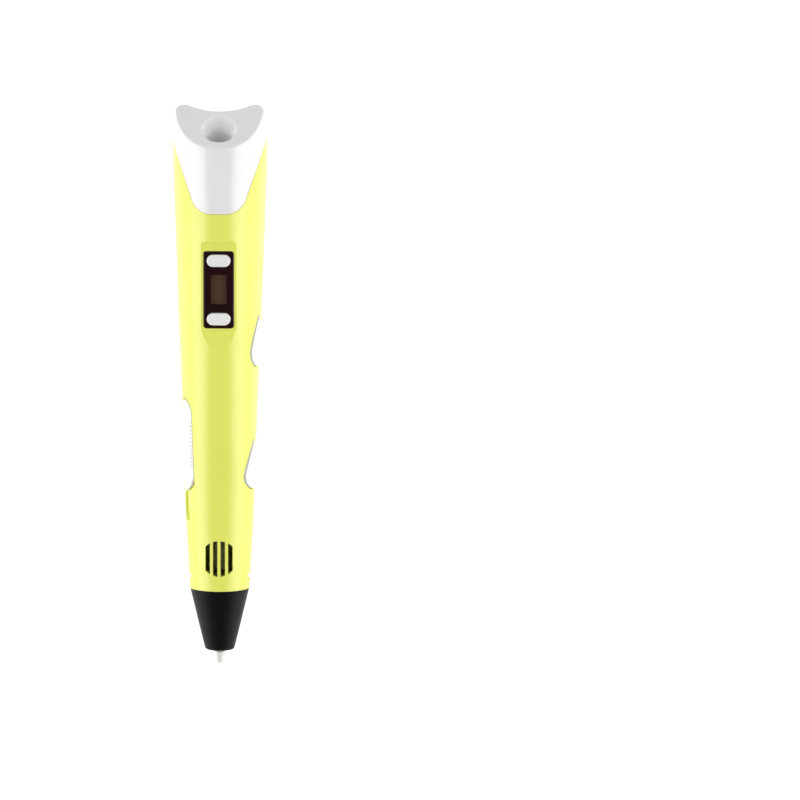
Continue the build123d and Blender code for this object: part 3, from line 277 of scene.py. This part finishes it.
lemon_abs = moulded("lemon_abs", (0.77, 0.80, 0.145), (0.75, 0.785, 0.135), (0.82, 0.84, 0.25), 0.31)
lemon_shader = lemon_abs.node_tree.nodes["Principled BSDF"]
lemon_shader.inputs["Subsurface Weight"].default_value = 0.08
lemon_shader.inputs["Subsurface Radius"].default_value = (0.0012, 0.0011, 0.0003)
lemon_shader.inputs["Subsurface Scale"].default_value = 1.0
finish_node("upper_shell", lemon_abs)
finish_node("lower_shell", lemon_abs)


# The end cap: gloss white ABS, moulded with its tongue, sloped end face and filament funnel
# in one, and pressed on to the shell's tail.
white_abs = moulded("white_abs", (0.80, 0.78, 0.80), (0.785, 0.765, 0.785), (0.86, 0.86, 0.86), 0.22)
white_shader = white_abs.node_tree.nodes["Principled BSDF"]
white_shader.inputs["Subsurface Weight"].default_value = 0.06
white_shader.inputs["Subsurface Radius"].default_value = (0.001, 0.001, 0.001)
white_shader.inputs["Subsurface Scale"].default_value = 1.0
finish_node("end_cap", white_abs)


# The nose cone: satin black heat-proof plastic, with a fine grain all over.
nose_plastic = moulded("nose_plastic", (0.004, 0.0036, 0.0042), (0.005, 0.0046, 0.005),
                       (0.014, 0.013, 0.014), 0.42)
nose_plastic.node_tree.nodes["Principled BSDF"].inputs["Specular IOR Level"].default_value = 0.12
finish_node("nose_cone", nose_plastic)


# The nozzle and the heater core round it: white ceramic, fired and left unglazed, a little
# browned where melted filament has run.
ceramic = moulded("ceramic", (0.76, 0.75, 0.72), (0.71, 0.69, 0.65), (0.78, 0.77, 0.75), 0.5, fineness=9000.0)
finish_node("nozzle", ceramic)
finish_node("heater_core", ceramic)


# The two temperature keys, the side keys and the speed slider: gloss white ABS like the cap.
key_white = moulded("key_white", (0.80, 0.80, 0.79), (0.78, 0.78, 0.77), (0.84, 0.84, 0.84), 0.25,
                    rounding=0.00015)
for node in ("temperature_up_button", "temperature_down_button", "feed_button", "unload_button",
             "speed_slider"):
    finish_node(node, key_white)


# The display window: clear acrylic printed black behind, all but over the crystal cell.
# It drops into the shell's recess round the two keys.
window_mesh = nodes["display_window"].data.copy()
window_mesh.materials.clear()
window_form = bmesh.new()
window_form.from_mesh(window_mesh)
display_lean = math.radians(10.4)
display_up = Vector((0, -math.sin(display_lean), math.cos(display_lean)))
display_along = Vector((0, math.cos(display_lean), math.sin(display_lean)))
window_low, window_high = (Vector(corner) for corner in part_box("display_window"))
window_centre = (window_low + window_high) / 2
clear_half_width, clear_half_length = 0.00255, 0.0049
for direction, distance in ((Vector((1, 0, 0)), clear_half_width), (display_along, clear_half_length)):
    for way in (-1, 1):
        bmesh.ops.bisect_plane(
            window_form, geom=window_form.verts[:] + window_form.edges[:] + window_form.faces[:],
            plane_co=window_centre + direction * distance * way, plane_no=direction * way)
for face in window_form.faces:
    offset = face.calc_center_median() - window_centre
    over_cell = abs(offset.x) < clear_half_width and abs(offset.dot(display_along)) < clear_half_length
    face.material_index = 1 if over_cell else 0
window_form.to_mesh(window_mesh)
window_form.free()
window = bpy.data.objects.new("printed_window", window_mesh)
bpy.context.collection.objects.link(window)
printed_black = moulded("printed_black", (0.010, 0.0006, 0.0014), (0.014, 0.0010, 0.0018),
                        (0.02, 0.004, 0.004),
                        0.07, depth=0.0000004)
clear_acrylic = moulded("clear_acrylic", (0.05, 0.02, 0.01), (0.06, 0.025, 0.012), (0.1, 0.06, 0.04),
                        0.06, depth=0.0000004)
clear_acrylic.node_tree.nodes["Principled BSDF"].inputs["Alpha"].default_value = 0.25
window_mesh.materials.append(printed_black)
window_mesh.materials.append(clear_acrylic)
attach(window, "pen")
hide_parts("display_window")


# The liquid crystal cell under the window, unlit and brownish, with fine rubbing lines along
# it, and the white plate behind that spreads its light.
cell_brown = moulded("cell_brown", (0.115, 0.070, 0.044), (0.095, 0.057, 0.035), (0.14, 0.09, 0.06), 0.25)
cell_tree = cell_brown.node_tree
cell_place = cell_tree.nodes.new("ShaderNodeTexCoord")
cell_lines = cell_tree.nodes.new("ShaderNodeMapping")
cell_lines.inputs["Scale"].default_value = (3500.0, 60.0, 60.0)
cell_streaks = cell_tree.nodes.new("ShaderNodeTexNoise")
cell_streaks.inputs["Scale"].default_value = 1.0
cell_tree.links.new(cell_place.outputs["Object"], cell_lines.inputs["Vector"])
cell_tree.links.new(cell_lines.outputs["Vector"], cell_streaks.inputs["Vector"])
cell_colour = blend_colours(cell_tree, (0.15, 0.088, 0.052), (0.26, 0.16, 0.10), cell_streaks.outputs["Fac"])
cell_tree.links.new(cell_colour, cell_tree.nodes["Principled BSDF"].inputs["Base Color"])
finish_node("lcd_cell", cell_brown)
light_plate = moulded("light_plate", (0.8, 0.8, 0.78), (0.78, 0.78, 0.76), (0.8, 0.8, 0.8), 0.4)
finish_node("lcd_backlight", light_plate)


# The raised arrow on each temperature key: a small rounded triangle, moulded with the key
# and printed pale grey, pointing to the tail for hotter and to the nozzle for cooler.
arrow_grey = moulded("arrow_grey", (0.50, 0.46, 0.52), (0.46, 0.42, 0.48), (0.60, 0.56, 0.62), 0.35)
for key, body, points_to in (("temperature_up_button", "temperature_up", 1),
                             ("temperature_down_button", "temperature_down", -1)):
    heights = [vertex.co.dot(display_up) for vertex in nodes[key].data.vertices]
    rim_height = max(heights)
    dish_height = max(height for height in heights if height < rim_height - 0.00012)
    key_low, key_high = (Vector(corner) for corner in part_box(key))
    key_middle = (key_low + key_high) / 2
    key_middle += display_up * (dish_height - key_middle.dot(display_up))
    arrow_form = bmesh.new()
    rings = []
    for size, height in ((1.0, -0.00002), (1.0, 0.00005), (0.88, 0.00008), (0.62, 0.00008), (0.50, 0.00003)):
        ring = []
        for step in range(24):
            turn = 2 * math.pi * step / 24 + math.pi / 2
            reach = 0.00095 * size * (1 + 0.22 * math.cos(3 * (turn - math.pi / 2)))
            ring.append(arrow_form.verts.new(
                key_middle + Vector((1, 0, 0)) * (reach * math.cos(turn) * 1.15)
                + display_along * (reach * math.sin(turn) * points_to * 0.85) + display_up * height))
        rings.append(ring)
    for outer_ring, inner_ring in zip(rings, rings[1:]):
        for step in range(24):
            following = (step + 1) % 24
            arrow_form.faces.new((outer_ring[step], outer_ring[following],
                                  inner_ring[following], inner_ring[step]))
    arrow_form.faces.new(rings[-1])
    arrow_form.faces.new(list(reversed(rings[0])))
    bmesh.ops.recalc_face_normals(arrow_form, faces=arrow_form.faces[:])
    arrow_mesh = bpy.data.meshes.new(body + "_arrow")
    arrow_form.to_mesh(arrow_mesh)
    arrow_form.free()
    arrow = bpy.data.objects.new(body + "_arrow", arrow_mesh)
    bpy.context.collection.objects.link(arrow)
    arrow_mesh.materials.append(arrow_grey)
    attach(arrow, body)


# The shell screws, board screws, shafts and pins: plain turned steel, with the fine rings
# that the tool leaves; the motor's can is drawn from sheet and plated.
def make_tool_marks():
    group = bpy.data.node_groups.new("tool_marks", "ShaderNodeTree")
    group_socket(group, "Pitch", "INPUT", "NodeSocketFloat", 9000.0)
    group_socket(group, "Height", "OUTPUT", "NodeSocketFloat")
    group_socket(group, "Tarnish", "OUTPUT", "NodeSocketFloat")
    inlet = group.nodes.new("NodeGroupInput")
    outlet = group.nodes.new("NodeGroupOutput")
    place = group.nodes.new("ShaderNodeTexCoord")
    turning = group.nodes.new("ShaderNodeTexWave")
    turning.wave_type = "RINGS"
    turning.rings_direction = "SPHERICAL"
    turning.inputs["Distortion"].default_value = 1.5
    tarnish = group.nodes.new("ShaderNodeTexNoise")
    tarnish.inputs["Scale"].default_value = 700.0
    tarnish.inputs["Detail"].default_value = 4.0
    group.links.new(place.outputs["Object"], turning.inputs["Vector"])
    group.links.new(inlet.outputs["Pitch"], turning.inputs["Scale"])
    group.links.new(place.outputs["Object"], tarnish.inputs["Vector"])
    group.links.new(turning.outputs["Fac"], outlet.inputs["Height"])
    group.links.new(tarnish.outputs["Fac"], outlet.inputs["Tarnish"])
    return group


tool_marks = make_tool_marks()


def turned_metal(name, colour, tarnished, roughness, pitch):
    material = bpy.data.materials.new(name)
    material.use_nodes = True
    tree = material.node_tree
    shader = tree.nodes["Principled BSDF"]
    shader.inputs["Metallic"].default_value = 1.0
    marks = place_group(tree, tool_marks)
    marks.inputs["Pitch"].default_value = pitch
    edges = place_group(tree, edge_wear)
    edges.inputs["Radius"].default_value = 0.00012
    mixed = blend_colours(tree, colour, tarnished, spread(tree, marks.outputs["Tarnish"], 0.0, 1.0))
    bright = tuple(min(1.0, part * 1.25) for part in colour)
    tree.links.new(blend_colours(tree, mixed, bright, edges.outputs["Mask"]), shader.inputs["Base Color"])
    tree.links.new(spread(tree, marks.outputs["Tarnish"], roughness * 0.85, roughness * 1.2),
                   shader.inputs["Roughness"])
    bump = tree.nodes.new("ShaderNodeBump")
    bump.inputs["Distance"].default_value = 0.000003
    tree.links.new(marks.outputs["Height"], bump.inputs["Height"])
    tree.links.new(edges.outputs["Normal"], bump.inputs["Normal"])
    tree.links.new(bump.outputs["Normal"], shader.inputs["Normal"])
    return material


turned_steel = turned_metal("turned_steel", (0.56, 0.56, 0.57), (0.46, 0.45, 0.44), 0.28, 9000.0)
for node in ("shell_screws", "feed_shaft", "drive_shaft", "idler_pivot", "idler_roller", "idler_pin",
             "board_screws", "dc_jack_pin"):
    finish_node(node, turned_steel)
can_steel = turned_metal("can_steel", (0.60, 0.60, 0.62), (0.52, 0.52, 0.54), 0.36, 2500.0)
finish_node("motor_can", can_steel)


# The idler's spring is a bar of blued spring steel; the heat break is a thin stainless tube,
# straw coloured where it has been hot.
blued_steel = turned_metal("blued_steel", (0.16, 0.18, 0.24), (0.22, 0.20, 0.20), 0.3, 6000.0)
finish_node("idler_spring", blued_steel)
straw_steel = turned_metal("straw_steel", (0.56, 0.52, 0.46), (0.50, 0.38, 0.22), 0.32, 8000.0)
finish_node("heat_break", straw_steel)


# The feed wheel: brass, hobbed with teeth that bite the filament.
hobbed_brass = turned_metal("hobbed_brass", (0.72, 0.50, 0.21), (0.58, 0.38, 0.14), 0.27, 7000.0)
finish_node("feed_wheel", hobbed_brass)


# The feed housing, gearbox, motor end bell, jack and switches: black glass-filled nylon.
glass_nylon = moulded("glass_nylon", (0.018, 0.018, 0.020), (0.030, 0.030, 0.032), (0.06, 0.06, 0.06), 0.5,
                      fineness=3500.0, depth=0.00002)
for node in ("feed_housing", "motor_gearbox", "motor_end_bell", "display_switches", "temperature_up_plunger",
             "temperature_down_plunger", "side_switches", "feed_plunger", "unload_plunger", "speed_pot",
             "dc_jack", "thermistor"):
    finish_node(node, glass_nylon)


# The gears and the idler's lever: natural acetal, a little waxy.
natural_acetal = moulded("natural_acetal", (0.80, 0.78, 0.72), (0.77, 0.75, 0.69), (0.85, 0.84, 0.80), 0.35)
for node in ("feed_gear", "drive_gear", "idler_arm"):
    finish_node(node, natural_acetal)


# The circuit boards: glass epoxy under green solder mask, with the weave just showing.
def woven_board():
    material = moulded("solder_mask", (0.010, 0.11, 0.040), (0.012, 0.13, 0.050), (0.25, 0.22, 0.10), 0.3)
    tree = material.node_tree
    shader = tree.nodes["Principled BSDF"]
    place = tree.nodes.new("ShaderNodeTexCoord")
    weave = tree.nodes.new("ShaderNodeTexChecker")
    weave.inputs["Scale"].default_value = 1800.0
    tree.links.new(place.outputs["Object"], weave.inputs["Vector"])
    under = shader.inputs["Base Color"].links[0].from_socket
    lighter = blend_colours(tree, under, (0.02, 0.16, 0.06), weave.outputs["Fac"])
    tree.links.new(lighter, shader.inputs["Base Color"])
    return material


solder_mask = woven_board()
finish_node("main_board", solder_mask)
finish_node("side_boards", solder_mask)


# The hot-end mount: a brown heat-proof polymer bush between the nozzle and the shell.
heat_bush = moulded("heat_bush", (0.32, 0.20, 0.09), (0.36, 0.23, 0.11), (0.42, 0.30, 0.18), 0.45)
finish_node("hot_end_mount", heat_bush)


# The guide tubes: milky fluoropolymer.
milky_tube = moulded("milky_tube", (0.75, 0.75, 0.73), (0.70, 0.70, 0.68), (0.80, 0.80, 0.80), 0.4)
finish_node("front_guide_tube", milky_tube)
finish_node("rear_guide_tube", milky_tube)


# The wires: silicone rubber on the hot end's pair, plain black on the motor's and the inlet's.
red_silicone = moulded("red_silicone", (0.45, 0.020, 0.015), (0.40, 0.020, 0.015), (0.50, 0.05, 0.05), 0.5)
finish_node("heater_wires", red_silicone)
black_sleeve = moulded("black_sleeve", (0.015, 0.015, 0.015), (0.020, 0.020, 0.020), (0.04, 0.04, 0.04), 0.5)
finish_node("motor_wires", black_sleeve)
finish_node("power_wires", black_sleeve)
